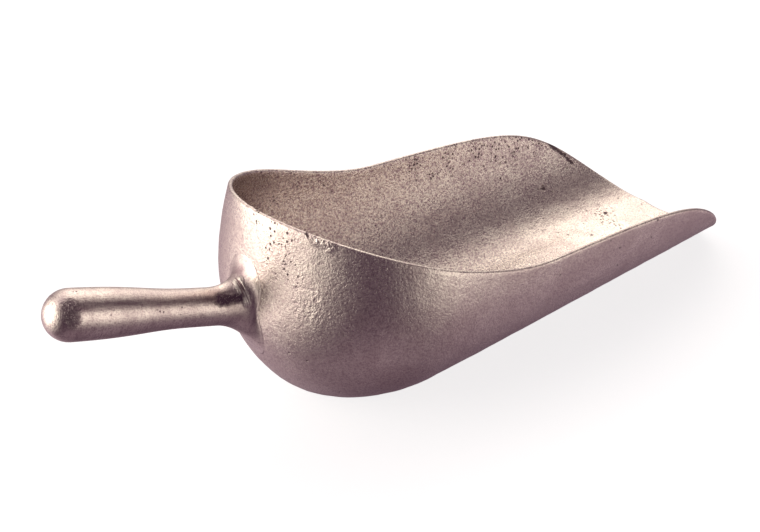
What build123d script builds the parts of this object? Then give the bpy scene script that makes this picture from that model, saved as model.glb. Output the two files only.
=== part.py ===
"""Cast aluminium ice scoop: an open-fronted bowl, and the club handle that grows out of its back wall.

Frame: +X runs from the handle to the lip, +Y to the left, +Z up. The scoop rests on z = 0, on the
flat of the bowl's underside, and the origin is on that plane, halfway along the whole scoop.
Units are millimetres, angles are degrees.
"""

import os
from math import cos, radians, sin, sqrt

from build123d import *

# Overall sizes
overall_length = 400.0
bowl_width = 151.0
rim_height = 112.0
wall = 2.5

# Bowl from above: a front with nearly straight sides, and a half ellipse round the back
bend_x = -34.5  # where the sides stop and the back begins
back_depth = 72.5  # how far the back reaches behind the bend
front_narrowing = 0.08  # share of the width lost between the bend and the lip
side_ease = 0.25  # share of the side's length over which it leaves the bend
lip_hollow = 3.0  # how far the middle of the lip stands behind its corners

# Bowl from the front: a flat floor, elliptical bilges, and upper walls that lean in
floor_half_width = 18.0
floor_back_depth = 30.0
bilge_height = 70.0
crest_tuck = 9.5  # how far each side wall has leaned in at the height of the crest
crest_overhang = 4.0  # how much deeper the back is at the height of the crest
crest_bend_shift = 16.5  # how far forward the bend has moved at the height of the crest
lean_start = 40.0  # height above which the bend starts to move forward

# Rim from the side: a nearly straight fall from the crest to the waist, then a full curve to the lip
crest_x = -94.5
crest_slope = 0.45
crest_pull = 58.0
waist_x = 30.0
waist_height = 65.0
waist_slope = 0.08
waist_pull_back = 29.0
waist_pull_ahead = 111.0
lip_pull = (46.0, 54.0)  # from the lip, back and up

# Handle: a club with a ball end, which tapers to a neck and rises away from the bowl
handle_rise = 20.5
grip_radius = 11.7
grip_centre_height = 94.5
neck_radius = 9.1
neck_start = 72.0  # along the handle's axis, from its end
stub_end = 125.0  # along the handle's axis, to a point inside the bowl
root_fillet = 14.0

# Values that follow, and constants of the construction
lip_x = overall_length / 2
handle_end_x = -overall_length / 2
half_width = bowl_width / 2
ellipse_pull = 0.5523  # Bezier arm that makes a quarter ellipse, as a share of its radius
bilge_steps = 7
upper_steps = 3
headroom = 5.0  # how far the untrimmed walls stand above the crest
margin = 10.0  # how far cutting shapes reach past the bowl
patch_size = 80.0  # side of the block of the back wall that the handle is blended into


def level(height, inset):
    """Half width, back depth and bend position at one height, for the skin inset from the outside."""
    below = max(bilge_height - height, 0.0) / (bilge_height - inset)
    spread = sqrt(max(1.0 - below**2, 0.0))
    half = floor_half_width + (half_width - inset - floor_half_width) * spread
    depth = floor_back_depth + (back_depth - inset - floor_back_depth) * spread
    above = max(height - bilge_height, 0.0) / (rim_height - bilge_height)
    half -= crest_tuck * above**2
    depth += crest_overhang * above**2
    leaned = max(height - lean_start, 0.0) / (rim_height - lean_start)
    bend = bend_x + crest_bend_shift * leaned**2
    return half, depth, bend


def outline(height, inset, front):
    """The bowl's outline at one height: two quarter ellipses, two eased sides and a straight front."""
    half, depth, bend = level(height, inset)
    run = front - bend
    front_half = half * (1.0 - front_narrowing * run / (lip_x - bend))
    slope = (half - front_half) / run
    back = bend - depth
    curves = {}
    for side in (1, -1):
        curves[side, "round"] = Bezier(
            (back, 0, height),
            (back, side * half * ellipse_pull, height),
            (bend - depth * ellipse_pull, side * half, height),
            (bend, side * half, height),
        )
        curves[side, "straight"] = Bezier(
            (bend, side * half, height),
            (bend + run * side_ease, side * half, height),
            (front - run / 3, side * (front_half + slope * run / 3), height),
            (front, side * front_half, height),
        )
    closing = Line((front, front_half, height), (front, -front_half, height))
    order = [(1, "straight"), (1, "round"), (-1, "round"), (-1, "straight")]
    return make_face(Wire([curves[key] for key in order] + [closing]))


def skin(inset, front):
    """Solid filling one skin of the bowl, from its floor to above the crest."""
    radius = bilge_height - inset
    turns = [90.0 * step / bilge_steps for step in range(bilge_steps + 1)]
    heights = [bilge_height - radius * cos(radians(turn)) for turn in turns]
    upper = rim_height + headroom - bilge_height
    heights += [bilge_height + upper * step / upper_steps for step in range(1, upper_steps + 1)]
    return loft([outline(height, inset, front) for height in heights])


def under_rim():
    """Everything below the rim's side view, right across the bowl."""
    crest = (crest_x, 0, rim_height)
    waist = (waist_x, 0, waist_height)
    lip = (lip_x, 0, 0)
    sweep = Bezier(
        crest,
        (crest_x + crest_pull, 0, rim_height - crest_slope * crest_pull),
        (waist_x - waist_pull_back, 0, waist_height + waist_slope * waist_pull_back),
        waist,
    )
    nose = Bezier(
        waist,
        (waist_x + waist_pull_ahead, 0, waist_height - waist_slope * waist_pull_ahead),
        (lip_x - lip_pull[0], 0, lip_pull[1]),
        lip,
    )
    rest = Polyline(
        lip,
        (lip_x, 0, -margin),
        (crest_x - margin, 0, -margin),
        (crest_x - margin, 0, rim_height),
        crest,
    )
    side_view = make_face(Wire([sweep, nose, *rest.edges()]))
    return extrude(side_view, amount=half_width + margin, dir=(0, 1, 0), both=True)


def lip_cutter():
    """Upright cylinder that hollows the lip between its corners."""
    corner = floor_half_width * (1.0 - front_narrowing)
    radius = (corner**2 + lip_hollow**2) / (2 * lip_hollow)
    centre = lip_x - lip_hollow + radius
    return Pos(centre, 0, 0) * Cylinder(radius, margin)


def club():
    """The handle turned about its own axis, with a plain stub that runs into the bowl."""
    rise = radians(handle_rise)
    towards_bowl = (cos(rise), 0, -sin(rise))
    end = (
        handle_end_x + grip_radius * (1.0 - cos(rise)),
        0,
        grip_centre_height + grip_radius * sin(rise),
    )
    reach = neck_start - grip_radius
    dome = JernArc((0, 0), (0, 1), grip_radius, -90)
    taper = Bezier(
        (grip_radius, grip_radius),
        (grip_radius + 0.55 * reach, grip_radius),
        (neck_start - 0.4 * reach, neck_radius),
        (neck_start, neck_radius),
    )
    rest = Polyline((neck_start, neck_radius), (stub_end, neck_radius), (stub_end, 0), (0, 0))
    profile = make_face(Wire([dome, taper, *rest.edges()]))
    along_axis = Plane(origin=end, x_dir=towards_bowl, z_dir=(0, -1, 0))
    return revolve(along_axis * profile, axis=Axis(end, towards_bowl))


def is_root(edge):
    """Whether an edge is where the neck meets the back wall: off the mirror plane, and neck-sized."""
    centre = edge.center()
    on_wall = crest_x - margin < centre.X < bend_x - floor_back_depth
    beside_neck = 0.5 * neck_radius < abs(centre.Y) < 1.5 * neck_radius
    return on_wall and beside_neck


def handle(bowl_outside):
    """The club, filleted into the back wall and trimmed to the wall's outside."""
    block = Pos(bend_x - back_depth, 0, bilge_height) * Box(patch_size, patch_size, patch_size)
    patch = bowl_outside & block
    joined = patch + club()
    root = [edge for edge in joined.edges() if is_root(edge)]
    return fillet(root, root_fillet) - patch


def bowl(bowl_outside):
    """The thin shell between the outer and inner skins, trimmed to the rim and the lip."""
    shell = bowl_outside - skin(wall, lip_x + margin)
    return (shell & under_rim()) - lip_cutter()


outside = skin(0.0, lip_x)
parts = {"bowl": bowl(outside), "handle": handle(outside)}

os.makedirs("parts", exist_ok=True)
for name, shape in parts.items():
    export_step(shape, f"parts/{name}.step")
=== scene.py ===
"""Looks of a cast aluminium ice scoop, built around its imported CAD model.

Shape work is in millimetres in the CAD frame: +X from the handle to the lip, +Y left, +Z up,
resting on z = 0. Meshes are scaled to metres when they are made.
"""

import math

import bmesh
import bpy
import numpy as np
from mathutils import Matrix, Vector, noise


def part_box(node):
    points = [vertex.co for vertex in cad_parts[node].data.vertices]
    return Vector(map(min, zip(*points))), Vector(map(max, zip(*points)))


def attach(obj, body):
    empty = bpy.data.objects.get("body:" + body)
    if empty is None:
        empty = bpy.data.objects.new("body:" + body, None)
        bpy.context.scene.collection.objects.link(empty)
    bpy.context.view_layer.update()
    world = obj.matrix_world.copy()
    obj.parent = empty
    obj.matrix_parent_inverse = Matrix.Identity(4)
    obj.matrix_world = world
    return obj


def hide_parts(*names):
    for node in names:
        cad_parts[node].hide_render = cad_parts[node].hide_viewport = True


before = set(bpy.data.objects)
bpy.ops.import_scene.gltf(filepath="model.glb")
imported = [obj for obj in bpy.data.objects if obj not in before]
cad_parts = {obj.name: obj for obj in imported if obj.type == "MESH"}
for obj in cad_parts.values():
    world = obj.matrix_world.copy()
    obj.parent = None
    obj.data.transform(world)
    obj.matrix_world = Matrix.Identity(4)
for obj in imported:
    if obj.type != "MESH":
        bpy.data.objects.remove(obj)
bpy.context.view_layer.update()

MM = 0.001
bowl_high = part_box("bowl")[1]
handle_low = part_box("handle")[0]

# ---------------------------------------------------------------- bowl: shape
lip_x = bowl_high.x / MM
half_width = bowl_high.y / MM
rim_height = bowl_high.z / MM
back_depth = 72.5  # how far the back reaches behind the bend
bend_x = -34.5  # where the sides stop and the round back begins
narrowing = 0.08  # share of the width lost between the bend and the lip
side_ease = 0.25  # share of the side's length over which it leaves the bend
lip_hollow = 3.0  # how far the middle of the lip stands behind its corners
floor_half = 18.0
floor_depth = 30.0
bilge = 70.0  # height at which the wall stands upright
crest_tuck = 9.5  # how far each side has leaned in at the height of the crest
crest_overhang = 4.0  # how much deeper the back is there
crest_shift = 16.5  # how far forward the bend has moved there
lean_start = 40.0  # height above which the bend starts to move
wall = 2.5
edge_radius = wall / 2

# the rim from the side: from the crest down to the waist, then in a curve to the lip
crest = (-94.5, rim_height)
crest_slope = 0.45
crest_pull = 58.0
past_crest = 5.0  # how far the rim's line is carried on behind the crest
waist = (30.0, 65.0)
waist_slope = 0.08
waist_pull_back = 29.0
waist_pull_ahead = 111.0
lip_pull = (46.0, 54.0)  # from the lip, back and up

LIP_POINTS = 40
NOSE_POINTS = 400
SWEEP_POINTS = 300
CORNER_PASSES = 30  # how often the corner between the lip and the nose is smoothed
CORNER_POINTS = (10, 20)  # how many points it is smoothed over, to either side
SIDE_COLUMNS = 230  # from the middle of the lip round to the crest
RINGS = 64  # from the spine on the floor out to the rim
EDGE_STEPS = 6  # round the free edge
spine_end = 150.0  # how far forward the floor's spine runs

lump_depth = 0.30  # unevenness of the cast skin, always into the metal on the outside
hammer_depth = 0.12  # the same, more and finer, in a patch beside the handle's root
hammered_at = np.array([-92.0, -39.5, 75.5])
hammered_reach = 17.0


def level(z, inset=0.0):
    """Half width, back depth and bend position at height z, for the skin inset from the outside."""
    below = np.maximum(bilge - z, 0.0) / (bilge - inset)
    spread = np.sqrt(np.maximum(1.0 - below**2, 0.0))
    half = floor_half + (half_width - inset - floor_half) * spread
    depth = floor_depth + (back_depth - inset - floor_depth) * spread
    above = np.maximum(z - bilge, 0.0) / (rim_height - bilge)
    leaned = np.maximum(z - lean_start, 0.0) / (rim_height - lean_start)
    bend = bend_x + crest_shift * leaned**2
    return half - crest_tuck * above**2, depth + crest_overhang * above**2, bend


def bezier(points, count):
    """Points along a cubic Bezier curve."""
    t = np.linspace(0.0, 1.0, count)[:, None]
    a, b, c, d = np.array(points, float)
    return (1 - t) ** 3 * a + 3 * t * (1 - t) ** 2 * b + 3 * t**2 * (1 - t) * c + t**3 * d


# girth: distance from the floor's middle line, out over the floor and up the wall
turn = np.linspace(0.0, math.pi / 2, 400)
bilge_step = np.hypot((half_width - floor_half) * np.cos(turn), bilge * np.sin(turn))
girth_of_turn = floor_half + np.concatenate(
    [[0.0], np.cumsum((bilge_step[1:] + bilge_step[:-1]) / 2 * np.diff(turn))]
)
height_of_turn = bilge * (1.0 - np.cos(turn))
full_girth = girth_of_turn[-1]


def height_at(girth):
    """Height of the outer skin at a distance from the floor's middle line."""
    low = np.interp(girth, girth_of_turn, height_of_turn)
    return np.where(girth > full_girth, bilge + girth - full_girth, low)


def girth_at(z):
    """Distance from the floor's middle line at a height."""
    low = np.interp(z, height_of_turn, girth_of_turn)
    return np.where(z > bilge, full_girth + z - bilge, low)


ease_t = np.linspace(0.0, 1.0, 200)
ease_share = 2.0 * ease_t**2 * (1.0 - ease_t) + ease_t**3
ease_run = ease_share + 3.0 * side_ease * ease_t * (1.0 - ease_t) ** 2


def narrow_at(share):
    """How much of its full width a side keeps at a share of the run from the bend to the lip."""
    return 1.0 - narrowing * np.interp(share, ease_run, ease_share)


def skin(u, v):
    """Outer skin over a flat map: u runs along the scoop, v is the girth to either side."""
    ahead = u >= bend_x
    girth = np.where(ahead, np.abs(v), np.hypot(u - bend_x, v))
    z = height_at(girth)
    half, depth, bend = level(z)
    on_floor = np.minimum(girth / floor_half, 1.0)
    share = np.clip((u - bend_x) / (lip_x - bend_x), 0.0, 1.0)
    front_x = bend + (lip_x - bend) * share
    front_y = half * on_floor * narrow_at(share)
    angle = np.arctan2(bend_x - u, np.abs(v))
    back_x = bend - depth * on_floor * np.sin(angle)
    back_y = half * on_floor * np.cos(angle)
    x = np.where(ahead, front_x, back_x)
    y = np.where(ahead, front_y, back_y) * np.sign(v)
    return np.stack([x, y, z], axis=-1)


def edge_on_map(inset):
    """Half of the free edge, from the middle of the lip to the crest, on the flat map."""
    corner = floor_half * (1.0 - narrowing)
    lip_y = np.linspace(0.0, corner, LIP_POINTS)
    lip = np.stack(
        [lip_x - inset - lip_hollow * (1.0 - (lip_y / corner) ** 2), lip_y / (1.0 - narrowing)], axis=-1
    )
    before_waist = (waist[0] + waist_pull_ahead, waist[1] - waist_slope * waist_pull_ahead)
    after_waist = (waist[0] - waist_pull_back, waist[1] + waist_slope * waist_pull_back)
    before_crest = (crest[0] + crest_pull, crest[1] - crest_slope * crest_pull)
    nose = bezier([(lip_x, 0.0), (lip_x - lip_pull[0], lip_pull[1]), before_waist, waist], NOSE_POINTS)
    sweep = bezier([waist, after_waist, before_crest, crest], SWEEP_POINTS)
    past = [(crest[0] - past_crest, crest[1] + past_crest * crest_slope)]
    side = np.vstack([nose, sweep[1:], past])
    run = np.gradient(side, axis=0)
    run /= np.linalg.norm(run, axis=1)[:, None]
    side = side - inset * np.stack([run[:, 1], -run[:, 0]], axis=-1)
    x, z = side[side[:, 1] > 0.0].T
    half, depth, bend = level(z)
    girth = girth_at(z)
    ahead = x >= bend
    share = (x - bend) / (lip_x - bend)
    reach = np.clip((bend - x) / depth, 0.0, 1.0)
    angle = np.where(ahead, 0.0, np.arcsin(reach))
    u = np.where(ahead, bend_x + (lip_x - bend_x) * share, bend_x - girth * np.sin(angle))
    v = np.where(ahead, girth, girth * np.cos(angle))
    last = int(np.argmax(reach >= 1.0)) if (reach >= 1.0).any() else len(reach) - 1
    v[last] = 0.0
    rim = np.stack([u, v], axis=-1)[: last + 1]
    path = np.vstack([lip, rim])
    start, stop = LIP_POINTS - CORNER_POINTS[0], LIP_POINTS + CORNER_POINTS[1]
    for _ in range(CORNER_PASSES):
        path[start:stop] = (path[start - 1 : stop - 1] + path[start + 1 : stop + 1]) / 2
    return path


def spaced(path, count):
    """The map path resampled at even distances along the skin."""
    solid = skin(path[:, 0], path[:, 1])
    along = np.concatenate([[0.0], np.cumsum(np.linalg.norm(np.diff(solid, axis=0), axis=1))])
    at = np.linspace(0.0, along[-1], count)
    return np.stack([np.interp(at, along, path[:, 0]), np.interp(at, along, path[:, 1])], axis=-1)


def mesh_object(name, vertices, faces, inside=None):
    """A smooth-shaded mesh object from millimetre points, with doubled points merged."""
    mesh = bpy.data.meshes.new(name)
    mesh.from_pydata((np.asarray(vertices) * MM).tolist(), [], faces)
    if inside is not None:
        mesh.attributes.new("inside", "FLOAT", "POINT").data.foreach_set("value", inside)
    work = bmesh.new()
    work.from_mesh(mesh)
    bmesh.ops.remove_doubles(work, verts=work.verts, dist=2e-6)
    bmesh.ops.dissolve_degenerate(work, edges=work.edges, dist=1e-7)
    bmesh.ops.recalc_face_normals(work, faces=work.faces)
    work.to_mesh(mesh)
    work.free()
    mesh.shade_smooth()
    thing = bpy.data.objects.new(name, mesh)
    bpy.context.scene.collection.objects.link(thing)
    return thing


def bowl_rings():
    """Rings of outer skin points, from the spine on the floor out to just inside the free edge."""
    half_edge = spaced(edge_on_map(edge_radius), SIDE_COLUMNS)
    half_edge[0, 1] = 0.0
    mirrored = half_edge[-2:0:-1] * [1.0, -1.0]
    edge = np.vstack([half_edge, mirrored])
    spine_share = np.clip((edge[:, 0] - bend_x) / (lip_x - bend_x), 0.0, 1.0)
    spine = np.stack([bend_x + (spine_end - bend_x) * spine_share, np.zeros(len(edge))], axis=-1)
    rings = []
    for ring in range(RINGS + 1):
        share = ring / RINGS
        at = spine + (edge - spine) * share
        rings.append(skin(at[:, 0], at[:, 1]))
    return np.array(rings)


def grid_normals(rings):
    """Unit normals of a closed ring grid, pointing to the inside of the bowl."""
    around = np.roll(rings, -1, axis=1) - np.roll(rings, 1, axis=1)
    out = np.gradient(rings, axis=0)
    normal = np.cross(out, around)
    length = np.linalg.norm(normal, axis=-1, keepdims=True)
    flat = length < 1e-9
    normal = np.where(flat, 0.0, normal / np.maximum(length, 1e-9))
    normal *= np.sign(normal[1:, :, 2].sum())
    on_floor = rings[..., 2] < 1e-6
    normal[on_floor] = [0.0, 0.0, 1.0]
    return normal


def lumps(points, size, seed):
    """Uneven casting: noise from 0 to 1 at each point, with features about size millimetres across."""
    flat = points.reshape(-1, 3) / size + seed
    values = [0.5 + 0.5 * noise.fractal(Vector(point), 0.7, 2.1, 3) for point in flat]
    return np.clip(values, 0.0, 1.0).reshape(points.shape[:-1] + (1,))


def make_bowl():
    """The bowl as one thin closed shell with a rounded free edge."""
    outer = bowl_rings()
    normal = grid_normals(outer)
    inner = outer + wall * normal
    count = outer.shape[1]
    hammered = np.exp(-np.sum((outer - hammered_at) ** 2, axis=-1, keepdims=True) / hammered_reach**2)
    fade = np.linspace(1.0, 0.0, RINGS + 1)[:, None, None] ** 0.15
    dents = lump_depth * lumps(outer, 9.0, 3.0) + hammer_depth * hammered * lumps(outer, 3.6, 7.0)
    outer = outer + fade * normal * dents
    inner = inner + fade * normal * lump_depth * (lumps(inner, 8.0, 17.0) - 0.5)
    edge_out, edge_in = outer[-1], inner[-1]
    middle = (edge_out + edge_in) / 2
    across = normal[-1]
    along = np.roll(edge_out, -1, axis=0) - np.roll(edge_out, 1, axis=0)
    outward = np.cross(along, across)
    outward /= np.linalg.norm(outward, axis=1)[:, None]
    step_out = outer[-1] - outer[-2]
    outward *= np.sign((outward * step_out).sum(axis=1))[:, None]
    rows = list(outer)
    for step in range(1, EDGE_STEPS):
        around = math.pi * step / EDGE_STEPS
        rows.append(middle - edge_radius * (across * math.cos(around) - outward * math.sin(around)))
    rows += list(inner[::-1])
    vertices = np.vstack(rows)
    inside = np.repeat(np.clip((np.arange(len(rows)) - RINGS) / EDGE_STEPS, 0.0, 1.0), count)
    faces = []
    for row in range(len(rows) - 1):
        for column in range(count):
            after = (column + 1) % count
            here, above = row * count, (row + 1) * count
            faces.append((here + column, here + after, above + after, above + column))
    return mesh_object("scoop_bowl", vertices, faces, inside)


bowl = make_bowl()

# ---------------------------------------------------------------- handle: shape
grip_radius = 11.7
neck_radius = 9.1
neck_start = 72.0  # along the axis, from the handle's end
taper_pull = (0.55, 0.4)  # shares of the taper's length over which it leaves the grip and joins the neck
grip_centre_height = 94.5
rise = math.radians(20.5)  # of the axis, away from the bowl
handle_end = np.array(
    [
        handle_low.x / MM + grip_radius * (1.0 - math.cos(rise)),
        0.0,
        grip_centre_height + grip_radius * math.sin(rise),
    ]
)
axis = np.array([math.cos(rise), 0.0, -math.sin(rise)])
upward = np.array([math.sin(rise), 0.0, math.cos(rise)])
sideways = np.array([0.0, 1.0, 0.0])
root_reach = 16.0  # how far the blend runs out over the wall above and below the neck
root_reach_side = 3.0
root_back = 20.0  # how far from the wall the blend starts, above and below
root_back_side = 9.0
root_pull = 0.6  # share of its reach over which the blend leaves the neck and joins the wall
root_sink = (0.3, 1.0)  # how far the blend runs on under the wall's skin, in and out
wall_search = (40.0, 125.0)  # the axis meets the wall between these distances from the handle's end
AROUND = 120
DOME_RINGS = 22
GRIP_RINGS = 90
NECK_RINGS = 8
BLEND_RINGS = 16


def outside_by(point):
    """How far a point behind the bend stands outside the bowl's outer skin, roughly in millimetres."""
    half, depth, bend = level(np.array(point[2]))
    reach = math.hypot((bend - point[0]) / depth, point[1] / half)
    return (reach - 1.0) * float(depth)


def wall_along(start):
    """Where a line parallel to the handle's axis meets the outer skin, as a distance along the axis."""
    near, far = wall_search
    for _ in range(40):
        middle = (near + far) / 2
        if outside_by(start + axis * middle) > 0.0:
            near = middle
        else:
            far = middle
    return near


def make_handle():
    """The club handle, whose last rings flow out over the bowl's back wall."""
    rings = []
    for ring in range(DOME_RINGS):
        tilt = math.pi / 2 * ring / DOME_RINGS
        rings.append([(grip_radius * (1.0 - math.cos(tilt)), grip_radius * math.sin(tilt))] * AROUND)
    reach = neck_start - grip_radius
    taper = bezier(
        [
            (grip_radius, grip_radius),
            (grip_radius + taper_pull[0] * reach, grip_radius),
            (neck_start - taper_pull[1] * reach, neck_radius),
            (neck_start, neck_radius),
        ],
        GRIP_RINGS,
    )
    rings += [[tuple(point)] * AROUND for point in taper]
    angles = np.linspace(0.0, 2.0 * math.pi, AROUND, endpoint=False)
    radial = [upward * math.cos(a) + sideways * math.sin(a) for a in angles]
    corner = [wall_along(handle_end + r * neck_radius) for r in radial]
    spread = root_reach_side + (root_reach - root_reach_side) * np.cos(angles) ** 2
    set_back = root_back_side + (root_back - root_back_side) * np.cos(angles) ** 2
    rim_radius = neck_radius + spread
    out = [wall_along(handle_end + r * e) for r, e in zip(radial, rim_radius)]
    slope = [wall_along(handle_end + r * (e + 1.0)) - o for r, e, o in zip(radial, rim_radius, out)]
    blend_start = [c - back for c, back in zip(corner, set_back)]
    for ring in range(1, NECK_RINGS + 1):
        share = ring / NECK_RINGS
        rings.append([(neck_start + (begin - neck_start) * share, neck_radius) for begin in blend_start])
    for ring in range(1, BLEND_RINGS + 1):
        t = ring / BLEND_RINGS
        row = []
        for i in range(AROUND):
            start = np.array([blend_start[i], neck_radius])
            end = np.array([out[i], rim_radius[i]])
            pull_a = start + np.array([root_pull * set_back[i], 0.0])
            pull_b = end - root_pull * spread[i] * np.array([slope[i], 1.0])
            leaving = (1 - t) ** 3 * start + 3 * t * (1 - t) ** 2 * pull_a
            row.append(tuple(leaving + 3 * t**2 * (1 - t) * pull_b + t**3 * end))
        rings.append(row)
    sink, further = root_sink
    rings.append([(out[i] + slope[i] + sink, rim_radius[i] + further) for i in range(AROUND)])
    rings.append([(wall_along(handle_end) + 1.0, 0.0)] * AROUND)  # closes the root, inside the wall
    vertices = []
    for ring in rings:
        for i, (along, radius) in enumerate(ring):
            vertices.append(handle_end + axis * along + radial[i] * radius)
    faces = []
    for row in range(len(rings) - 1):
        for i in range(AROUND):
            after = (i + 1) % AROUND
            here, above = row * AROUND, (row + 1) * AROUND
            faces.append((here + i, here + after, above + after, above + i))
    return mesh_object("scoop_handle", np.array(vertices), faces)


handle = make_handle()

# ---------------------------------------------------------------- materials
RAGGED = 3.0  # millimetres over which the edge of a mark may wander


class Nodes:
    """Short calls for building one material's node tree."""

    def __init__(self, name):
        self.material = bpy.data.materials.new(name)
        self.material.use_nodes = True
        self.tree = self.material.node_tree
        self.shader = self.tree.nodes["Principled BSDF"]
        place = self.tree.nodes.new("ShaderNodeTexCoord")
        scale = self.tree.nodes.new("ShaderNodeVectorMath")
        scale.operation = "SCALE"
        scale.inputs["Scale"].default_value = 1.0 / MM
        self.tree.links.new(place.outputs["Object"], scale.inputs[0])
        self.place = scale.outputs["Vector"]  # position on the object in millimetres
        ragged = self.tree.nodes.new("ShaderNodeTexNoise")
        ragged.inputs["Scale"].default_value = 0.45
        ragged.inputs["Detail"].default_value = 2.0
        self.link(self.place, ragged.inputs["Vector"])
        self.ragged_place = self.vector("MULTIPLY_ADD", ragged.outputs["Color"], (RAGGED,) * 3, self.place)
        self.ragged_place = self.vector("SUBTRACT", self.ragged_place, (RAGGED / 2,) * 3)

    def link(self, value, socket):
        """Feed a socket from another node's output, or set the socket's own value."""
        if isinstance(value, bpy.types.NodeSocket):
            self.tree.links.new(value, socket)
        else:
            socket.default_value = value

    def math(self, operation, a, b=0.0, clamp=False):
        """One number worked out from one or two others."""
        node = self.tree.nodes.new("ShaderNodeMath")
        node.operation = operation
        node.use_clamp = clamp
        for value, socket in zip((a, b), node.inputs):
            self.link(value, socket)
        return node.outputs[0]

    def vector(self, operation, a, b, c=None, out="Vector"):
        """A vector, or the number that out names, worked out from up to three vectors."""
        node = self.tree.nodes.new("ShaderNodeVectorMath")
        node.operation = operation
        for value, socket in zip((a, b, c), node.inputs):
            if value is not None:
                self.link(value, socket)
        return node.outputs[out]

    def noise(self, size, detail=2.0, rough=0.5, stretch=(1.0, 1.0, 1.0), seed=0.0, spread=0.0, place=None):
        """Noise whose features are about size millimetres across."""
        node = self.tree.nodes.new("ShaderNodeTexNoise")
        shifted = self.vector("MULTIPLY_ADD", place or self.place, stretch, (seed, seed * 1.7, -seed))
        self.link(shifted, node.inputs["Vector"])
        node.inputs["Scale"].default_value = 1.0 / size
        node.inputs["Detail"].default_value = detail
        node.inputs["Roughness"].default_value = rough
        node.inputs["Distortion"].default_value = spread
        return node.outputs["Fac"]

    def cells(self, size, seed=0.0):
        """Distance to the nearest of scattered points, as a share of size, their rough spacing."""
        node = self.tree.nodes.new("ShaderNodeTexVoronoi")
        shift = self.tree.nodes.new("ShaderNodeVectorMath")
        shift.operation = "ADD"
        self.link(self.place, shift.inputs[0])
        shift.inputs[1].default_value = (seed, -seed, seed * 0.6)
        self.link(shift.outputs["Vector"], node.inputs["Vector"])
        node.inputs["Scale"].default_value = 1.0 / size
        return node.outputs["Distance"]

    def step(self, value, low, high, out_low=0.0, out_high=1.0):
        """Value mapped smoothly from low..high onto out_low..out_high."""
        node = self.tree.nodes.new("ShaderNodeMapRange")
        node.interpolation_type = "SMOOTHSTEP"
        sockets = ("From Min", "From Max", "To Min", "To Max")
        for socket, number in zip(sockets, (low, high, out_low, out_high)):
            node.inputs[socket].default_value = number
        self.link(value, node.inputs["Value"])
        return node.outputs["Result"]

    def line(self, start, end, inner, outer):
        """1 along a ragged line on the object, fading to 0 from inner to outer millimetres away."""
        run = Vector(end) - Vector(start)
        from_start = self.vector("SUBTRACT", self.ragged_place, tuple(start))
        if run.length > 0.0:
            share = self.vector("DOT_PRODUCT", from_start, tuple(run / run.length_squared), out="Value")
            share = self.math("ADD", share, 0.0, clamp=True)
            nearest = self.tree.nodes.new("ShaderNodeVectorMath")
            nearest.operation = "SCALE"
            nearest.inputs[0].default_value = run
            self.link(share, nearest.inputs["Scale"])
            from_start = self.vector("SUBTRACT", from_start, nearest.outputs["Vector"])
        return self.step(self.vector("LENGTH", from_start, None, out="Value"), inner, outer, 1.0, 0.0)

    def lines(self, marks):
        """1 along any of several lines, each given as start, end, inner and outer distance."""
        total = 0.0
        for start, end, inner, outer in marks:
            total = self.math("MAXIMUM", total, self.line(start, end, inner, outer))
        return total

    def component(self, name):
        """X, Y or Z of the position on the object, in millimetres."""
        node = self.tree.nodes.new("ShaderNodeSeparateXYZ")
        self.link(self.place, node.inputs[0])
        return node.outputs[name]

    def attribute(self, name):
        """A value stored on the mesh's points."""
        node = self.tree.nodes.new("ShaderNodeAttribute")
        node.attribute_name = name
        return node.outputs["Fac"]

    def mix(self, share, a, b):
        """Colour a turning to colour b by share."""
        node = self.tree.nodes.new("ShaderNodeMix")
        node.data_type = "RGBA"
        self.link(share, node.inputs["Factor"])
        for value, socket in ((a, node.inputs[6]), (b, node.inputs[7])):
            self.link((*value, 1.0) if isinstance(value, tuple) else value, socket)
        return node.outputs[2]

    def bump(self, height, strength, distance, normal=None):
        """Bump from a height of 0 to 1 that stands for a distance in millimetres."""
        node = self.tree.nodes.new("ShaderNodeBump")
        node.inputs["Strength"].default_value = strength
        node.inputs["Distance"].default_value = distance * MM
        self.link(height, node.inputs["Height"])
        if normal is not None:
            self.link(normal, node.inputs["Normal"])
        return node.outputs["Normal"]


# colours of the bowl's metal, of what marks it, and of a painted dark reflection
bowl_dull = (0.62, 0.525, 0.49)
bowl_bright = (0.78, 0.70, 0.63)
# colour of the painted dark reflection on the far inner wall
painted_dark_reflection = (0.33, 0.25, 0.25)
grain_shadow = (0.25, 0.15, 0.20)
glinting = (0.96, 0.90, 0.80)
pit_black = (0.085, 0.05, 0.065)


def on_side(x, z, inset=0.0):
    """A place on the left wall, so far along the scoop and so high, inset from the outer skin."""
    half, _, bend = level(z, inset)
    return x, half * narrow_at((x - bend) / (lip_x - bend)), z


def on_back(y, z, inset=0.0):
    """A place on the back wall, so far to the left and so high, inset from the outer skin."""
    half, depth, bend = level(z, inset)
    return bend - depth * math.sqrt(1.0 - (y / half) ** 2), y, z


def on_floor(x, y):
    """A place on the floor, inside the bowl."""
    return x, y, wall


def on_handle(along, around, radius):
    """A place by the handle's axis: along it, degrees from its top towards the left, and out from it."""
    angle = math.radians(around)
    return tuple(handle_end + axis * along + (upward * math.cos(angle) + sideways * math.sin(angle)) * radius)
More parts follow.
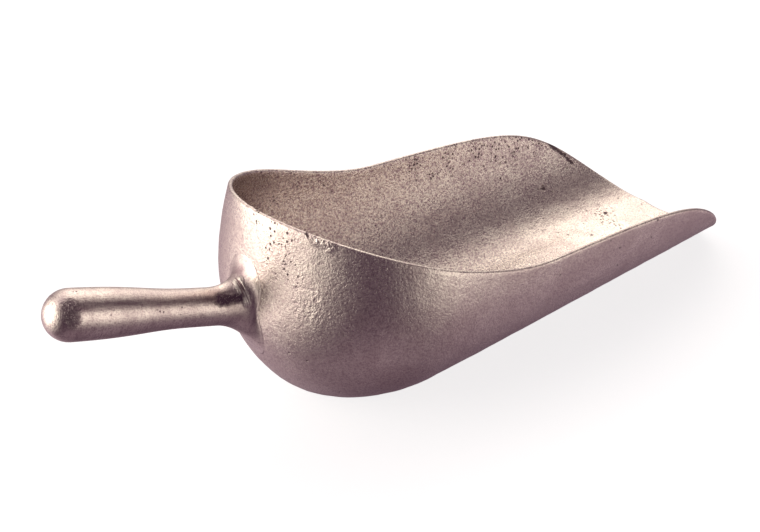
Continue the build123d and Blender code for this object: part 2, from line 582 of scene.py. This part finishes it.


# marks on the bowl, one of them a painted dark reflection: where each starts and ends, and the distances over
# which it fades
pits_inside = [
    (on_side(143.0, 18.0, wall), on_side(144.0, 18.0, wall), 0.7, 2.4),
    (on_side(143.5, 42.0, wall), on_side(143.5, 42.0, wall), 0.2, 1.2),
    (on_side(148.0, 15.0, wall), on_side(149.0, 14.5, wall), 0.0, 0.7),
    (on_floor(168.0, 19.0), on_floor(169.0, 20.0), 0.5, 1.3),
    (on_floor(142.0, 6.5), on_floor(142.0, 6.5), 0.4, 1.1),
]
gouge = [  # down from the far rim, near the lip
    (on_side(161.5, 38.5, wall), on_side(164.5, 35.0, wall), 1.0, 2.1),
    (on_side(166.0, 33.5, wall), on_side(170.0, 29.0, wall), 0.7, 1.7),
    (on_side(171.0, 27.0, wall), on_side(173.0, 24.0, wall), 0.5, 1.4),
]
cracks = [  # down from the rim, to the right of the crest
    (on_back(-33.0, 107.5, 0.6), on_back(-35.5, 103.5, 1.3), 0.3, 1.1),
    (on_back(-24.5, 103.0), on_back(-26.0, 95.5, 0.2), 0.05, 0.45),
]
torn_edge = (on_back(-36.5, 106.0, 0.4), on_back(-42.5, 103.0, 1.3), 1.2, 3.8)
rim_specks = (on_back(-6.0, 109.0, 1.5), on_back(-24.0, 104.5, 1.6), 2.0, 7.0)
wall_specks = (on_back(-16.0, 98.0, 2.0), on_back(-30.0, 92.0), 4.0, 14.0)
lip_specks = (on_floor(171.0, 26.0), on_floor(160.0, 8.0), 2.0, 10.0)
# a painted dark reflection: a darker band along the far inner wall, where dark surroundings are mirrored;
# specks gather there too
far_reflection_band = (on_side(56.0, 54.5, wall), on_side(153.0, 43.5, wall), 2.0, 15.0)


def cast_bowl():
    """Sand-cast aluminium: satin grain, stains, dark pits, rougher patches by the rim, and a painted dark
    reflection in a band along the far inner wall.
    """
    n = Nodes("cast_bowl")
    n.shader.inputs["Metallic"].default_value = 1.0
    inside = n.attribute("inside")
    grain = n.noise(1.25, 3.0, 0.7)
    fine = n.noise(0.55, 2.0, 0.6, seed=11.0)
    hammer = n.noise(1.9, 2.0, 0.55, seed=33.0)
    uneven = n.noise(6.0, 2.0, 0.5, seed=5.0)
    stain = n.noise(30.0, 5.0, 0.66, seed=21.0, spread=0.6)
    blotch = n.noise(7.0, 3.0, 0.6, seed=44.0)
    broad = n.noise(90.0, 2.0, 0.5, seed=40.0)
    pit = n.step(n.cells(7.5, seed=3.0), 0.05, 0.10, 1.0, 0.0)
    pit = n.math("MULTIPLY", pit, n.step(broad, 0.45, 0.62))
    speck = n.step(n.cells(2.3, seed=9.0), 0.16, 0.32, 1.0, 0.0)
    speck_where = n.step(n.noise(24.0, 2.0, 0.5, seed=60.0), 0.55, 0.72, 0.0, 0.8)
    speck_where = n.math("MULTIPLY", speck_where, n.step(inside, 0.0, 1.0, 0.15, 1.0))
    for patch in (rim_specks, wall_specks, lip_specks, far_reflection_band):
        speck_where = n.math("MAXIMUM", speck_where, n.line(*patch))
    speck_where = n.math("MULTIPLY", speck_where, n.step(blotch, 0.38, 0.58))
    speck = n.math("MULTIPLY", speck, speck_where)
    hole = n.lines(pits_inside + gouge + cracks)
    dark = n.math("MAXIMUM", n.math("MAXIMUM", pit, speck), hole)
    torn = n.line(*torn_edge)

    colour = n.mix(n.step(stain, 0.36, 0.66), bowl_dull, bowl_bright)
    # painted dark reflection along the far inner wall, broken up by blotches
    shade = n.math("MULTIPLY", n.line(*far_reflection_band), n.step(blotch, 0.40, 0.62, 0.0, 0.62))
    colour = n.mix(shade, colour, painted_dark_reflection)
    worn = n.math("MULTIPLY", n.step(n.component("X"), 40.0, 140.0), n.step(n.component("Z"), 22.0, 6.0))
    kept = n.math("SUBTRACT", 1.0, n.math("MULTIPLY", worn, 0.45))  # grain left where ice and use wore it
    speckle = n.math("MULTIPLY", n.step(grain, 0.55, 0.41), n.step(inside, 0.0, 1.0, 0.42, 0.85))
    speckle = n.math("MULTIPLY", speckle, kept)
    colour = n.mix(speckle, colour, grain_shadow)
    glint = n.math("MULTIPLY", n.step(fine, 0.50, 0.68), n.step(inside, 0.0, 1.0, 0.55, 0.8))
    colour = n.mix(glint, colour, glinting)
    colour = n.mix(n.math("MULTIPLY", dark, 0.92), colour, pit_black)
    n.link(colour, n.shader.inputs["Base Color"])
    rough = n.math("SUBTRACT", n.step(stain, 0.3, 0.7, 0.34, 0.27), n.math("MULTIPLY", inside, 0.04))
    rough = n.math("ADD", rough, n.math("MULTIPLY", n.math("SUBTRACT", fine, 0.5), 0.25))
    rough = n.math("ADD", rough, n.math("MULTIPLY", dark, 0.25), clamp=True)
    n.link(rough, n.shader.inputs["Roughness"])
    hammered = n.line(tuple(hammered_at), tuple(hammered_at), 3.0, hammered_reach)
    rugged = n.math("MAXIMUM", n.math("MULTIPLY", hammered, 0.5), torn)
    normal = n.bump(uneven, 0.6, 0.25)
    normal = n.bump(n.math("MULTIPLY", hammer, rugged), 1.0, 0.85, normal)
    relief = n.math("MULTIPLY", kept, n.step(inside, 0.0, 1.0, 0.6, 1.0))
    normal = n.bump(n.math("MULTIPLY", grain, relief), 1.0, 0.42, normal)
    normal = n.bump(fine, 0.8, 0.14, normal)
    normal = n.bump(n.math("SUBTRACT", 1.0, dark), 1.0, 0.5, normal)
    n.link(normal, n.shader.inputs["Normal"])
    return n.material


# marks on the handle, some of them painted shade and painted dark reflections, given in the same way
# a painted dark reflection on the near side, by the root
root_dark_reflection = (on_handle(83.0, -47.0, 9.5), on_handle(92.0, -48.0, 11.5), 1.6, 4.4)
# painted shade on the top of the blend where the handle meets the bowl
root_painted_shade = (on_handle(98.5, 43.5, 20.5), on_handle(93.5, 0.0, 15.5), 2.0, 9.5)
end_blot = (on_handle(7.5, -45.0, 10.5), on_handle(8.0, -77.0, 11.0), 1.6, 4.6)
# a painted dark reflection: a stripe along the near side of the handle
dark_reflection_stripe = (on_handle(11.5, -51.0, 11.5), on_handle(84.0, -42.0, 10.0), 0.6, 3.4)
filed_band = (on_handle(92.5, -14.0, 14.0), on_handle(95.5, -63.0, 12.5), 1.4, 3.8)
top_pits = (on_handle(12.0, -2.0, 12.0), on_handle(26.0, -5.0, 11.5), 0.8, 2.6)

# colours of the handle's metal, of what marks it, and of painted shade and painted dark reflections
handle_dull = (0.62, 0.53, 0.50)
handle_bright = (0.80, 0.72, 0.655)
handle_grain = (0.30, 0.20, 0.235)
turned_mark = (0.34, 0.25, 0.265)
# colour of the painted shade on the root and of the painted dark reflection stripe
painted_shade_and_reflection = (0.22, 0.145, 0.175)
filed_dark = (0.20, 0.13, 0.14)
filed_bright = (0.92, 0.88, 0.78)
# colour of the painted dark reflection by the root, of the blot by the end and of the specks
blot_and_reflection_black = (0.10, 0.05, 0.09)


def cast_handle():
    """The same casting filed and polished by hand: smoother, with fine marks round the grip, painted shade on
    top of the root and painted dark reflections on the near side.
    """
    n = Nodes("cast_handle")
    n.shader.inputs["Metallic"].default_value = 1.0
    turned = n.tree.nodes.new("ShaderNodeCombineXYZ")
    for direction, socket in zip((axis, sideways, upward), turned.inputs):
        n.link(n.vector("DOT_PRODUCT", n.place, tuple(direction), out="Value"), socket)
    turned = turned.outputs["Vector"]
    marks = n.noise(1.3, 3.0, 0.65, stretch=(1.0, 0.16, 0.16), seed=2.0, place=turned)
    scuffs = n.noise(2.4, 3.0, 0.6, stretch=(0.10, 1.0, 1.0), seed=27.0, place=turned)
    strokes = n.noise(1.5, 2.0, 0.6, stretch=(1.6, 0.12, 0.12), seed=51.0)
    grain = n.noise(0.8, 2.0, 0.6, seed=8.0)
    uneven = n.noise(9.0, 2.0, 0.5, seed=13.0)
    stain = n.noise(14.0, 4.0, 0.62, seed=31.0, spread=0.5)
    speck = n.step(n.cells(2.4, seed=19.0), 0.09, 0.2, 1.0, 0.0)
    speck_where = n.step(n.noise(14.0, 2.0, 0.5, seed=70.0), 0.56, 0.7, 0.0, 0.7)
    speck = n.math("MULTIPLY", speck, n.math("MAXIMUM", speck_where, n.line(*top_pits)))
    # the blot by the root is a painted dark reflection; the one by the end is a dark blot
    blot = n.math("MAXIMUM", n.line(*root_dark_reflection), n.math("MULTIPLY", n.line(*end_blot), 0.75))
    blot = n.math("MULTIPLY", blot, n.step(grain, 0.86, 0.52))
    # painted shade on the top of the handle's root
    root_shade = n.math("MULTIPLY", n.line(*root_painted_shade), n.step(stain, 0.3, 0.6, 0.75, 0.45))
    # painted dark reflection stripe along the near side, broken up by scuffs
    stripe_reflection_mask = n.math("MULTIPLY", n.line(*dark_reflection_stripe), n.step(scuffs, 0.35, 0.62, 0.75, 0.25))
    filed = n.line(*filed_band)

    colour = n.mix(n.step(stain, 0.38, 0.66), handle_dull, handle_bright)
    colour = n.mix(n.math("MULTIPLY", n.step(grain, 0.54, 0.38), 0.45), colour, handle_grain)
    colour = n.mix(n.step(marks, 0.50, 0.30, 0.0, 0.40), colour, turned_mark)
    # painted shade on the root's top and the painted dark reflection stripe
    colour = n.mix(n.math("MAXIMUM", root_shade, stripe_reflection_mask), colour, painted_shade_and_reflection)
    streaks = n.mix(n.step(strokes, 0.42, 0.56), filed_dark, filed_bright)
    colour = n.mix(n.math("MULTIPLY", filed, 0.75), colour, streaks)
    # painted dark reflection by the root, a dark blot by the end, and dark specks
    colour = n.mix(n.math("MAXIMUM", n.math("MULTIPLY", blot, 0.95), speck), colour, blot_and_reflection_black)
    n.link(colour, n.shader.inputs["Base Color"])
    rough = n.step(stain, 0.3, 0.7, 0.37, 0.29)
    rough = n.math("ADD", rough, n.math("MULTIPLY", n.math("SUBTRACT", marks, 0.5), 0.22))
    rough = n.math("ADD", rough, n.math("MULTIPLY", n.math("MAXIMUM", blot, root_shade), 0.3), clamp=True)
    n.link(rough, n.shader.inputs["Roughness"])
    normal = n.bump(uneven, 0.5, 0.14)
    normal = n.bump(marks, 0.8, 0.10, normal)
    normal = n.bump(grain, 0.9, 0.12, normal)
    normal = n.bump(n.math("MULTIPLY", strokes, filed), 1.0, 0.7, normal)
    normal = n.bump(n.math("SUBTRACT", 1.0, n.math("MAXIMUM", blot, speck)), 0.8, 0.3, normal)
    n.link(normal, n.shader.inputs["Normal"])
    return n.material


bowl.data.materials.append(cast_bowl())
handle.data.materials.append(cast_handle())

for piece, node, slot in ((bowl, "bowl", "bowl_metal"), (handle, "handle", "handle_metal")):
    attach(piece, "root")
    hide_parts(node)

# ---------------------------------------------------------------- floor, light and camera
floor_reach = 20.0  # metres
floor_gap = 0.4  # how far the floor lies under the scoop
floor_mesh = bpy.data.meshes.new("floor")
corners = [(-floor_reach, -floor_reach, 0), (floor_reach, -floor_reach, 0)]
corners += [(floor_reach, floor_reach, 0), (-floor_reach, floor_reach, 0)]
floor_mesh.from_pydata(corners, [], [(0, 1, 2, 3)])
floor = bpy.data.objects.new("floor", floor_mesh)
floor.location.z = -floor_gap * MM
bpy.context.scene.collection.objects.link(floor)
paint = bpy.data.materials.new("floor_paint")
paint.use_nodes = True
floor_shader = paint.node_tree.nodes["Principled BSDF"]
floor_shader.inputs["Base Color"].default_value = (0.38, 0.38, 0.40, 1)
floor_shader.inputs["Roughness"].default_value = 1.0
floor_shader.inputs["Specular IOR Level"].default_value = 0.0
floor_shader.inputs["Emission Color"].default_value = (1.0, 1.0, 1.0, 1)
floor_shader.inputs["Emission Strength"].default_value = 0.78
floor_mesh.materials.append(paint)
floor.visible_glossy = False

world = bpy.data.worlds.new("studio")
world.use_nodes = True
tree = world.node_tree


def world_math(operation, a, b):
    """One number worked out from the direction of the light."""
    node = tree.nodes.new("ShaderNodeMath")
    node.operation = operation
    for value, socket in zip((a, b), node.inputs):
        if isinstance(value, bpy.types.NodeSocket):
            tree.links.new(value, socket)
        else:
            socket.default_value = value
    return node.outputs[0]


# soft lights round the scoop: azimuth from +X towards +Y, elevation, brightness and narrowness
studio_lights = {
    "window": (152, 14, 5.0, 7),
    "sweep": (48, 38, 2.4, 6),
    "ceiling": (120, 62, 0.4, 8),
    "front_fill": (300, 0, 1.8, 11),
    "floor_left": (110, -30, 0.6, 5),
    "floor_right": (345, -30, 0.45, 7),
    "floor_front": (240, -60, 0.25, 8),
}
AMBIENT = 0.065
BRIGHT = 0.7  # a light brighter than this is warm, and a dimmer one is a cooler bounce
bright_tint = Vector((1.06, 1.0, 0.885))
dim_tint = Vector((1.12, 0.90, 0.96))
ambient_tint = Vector((1.20, 0.62, 1.10))


def studio_light():
    """Light from every direction, as a sum of soft lobes over a faint even glow."""
    direction = tree.nodes.new("ShaderNodeTexCoord").outputs["Generated"]
    total = AMBIENT * ambient_tint
    for azimuth, elevation, brightness, narrowness in studio_lights.values():
        heading, tilt = math.radians(azimuth), math.radians(elevation)
        ahead = math.cos(tilt)
        facing = tree.nodes.new("ShaderNodeVectorMath")
        facing.operation = "DOT_PRODUCT"
        tree.links.new(direction, facing.inputs[0])
        towards = (math.cos(heading) * ahead, math.sin(heading) * ahead, math.sin(tilt))
        facing.inputs[1].default_value = towards
        lobe = world_math("POWER", world_math("MAXIMUM", facing.outputs["Value"], 0.0), narrowness)
        add = tree.nodes.new("ShaderNodeVectorMath")
        add.operation = "MULTIPLY_ADD"
        tree.links.new(lobe, add.inputs[0])
        add.inputs[1].default_value = brightness * (bright_tint if brightness > BRIGHT else dim_tint)
        if isinstance(total, bpy.types.NodeSocket):
            tree.links.new(total, add.inputs[2])
        else:
            add.inputs[2].default_value = total
        total = add.outputs["Vector"]
    return total


tree.links.new(studio_light(), tree.nodes["Background"].inputs["Color"])

# seen directly, the world is a plain pale backdrop
backdrop = tree.nodes.new("ShaderNodeBackground")
backdrop.inputs["Color"].default_value = (1.0, 1.0, 1.0, 1)
seen = tree.nodes.new("ShaderNodeMixShader")
tree.links.new(tree.nodes.new("ShaderNodeLightPath").outputs["Is Camera Ray"], seen.inputs[0])
tree.links.new(tree.nodes["Background"].outputs["Background"], seen.inputs[1])
tree.links.new(backdrop.outputs["Background"], seen.inputs[2])
tree.links.new(seen.outputs["Shader"], tree.nodes["World Output"].inputs["Surface"])
bpy.context.scene.world = world
bpy.context.scene.view_settings.view_transform = "Standard"

camera_data = bpy.data.cameras.new("camera")
camera = bpy.data.objects.new("camera", camera_data)
camera_azimuth = math.radians(36.0)  # from square to the scoop's right side, towards the handle
camera_elevation = math.radians(30.5)
camera_roll = math.radians(-3.9)
camera_distance = 640.0
camera_aim = Vector((-15.5, 10.0, 43.7))
turned = (
    Matrix.Rotation(-camera_azimuth, 4, "Z")
    @ Matrix.Rotation(math.pi / 2 - camera_elevation, 4, "X")
    @ Matrix.Rotation(camera_roll, 4, "Z")
)
backward = turned.to_3x3() @ Vector((0.0, 0.0, 1.0))
camera.matrix_world = Matrix.Translation((camera_aim + backward * camera_distance) * MM) @ turned
camera_data.sensor_width = 36.0
camera_data.lens = 57.6
bpy.context.scene.collection.objects.link(camera)
bpy.context.scene.camera = camera
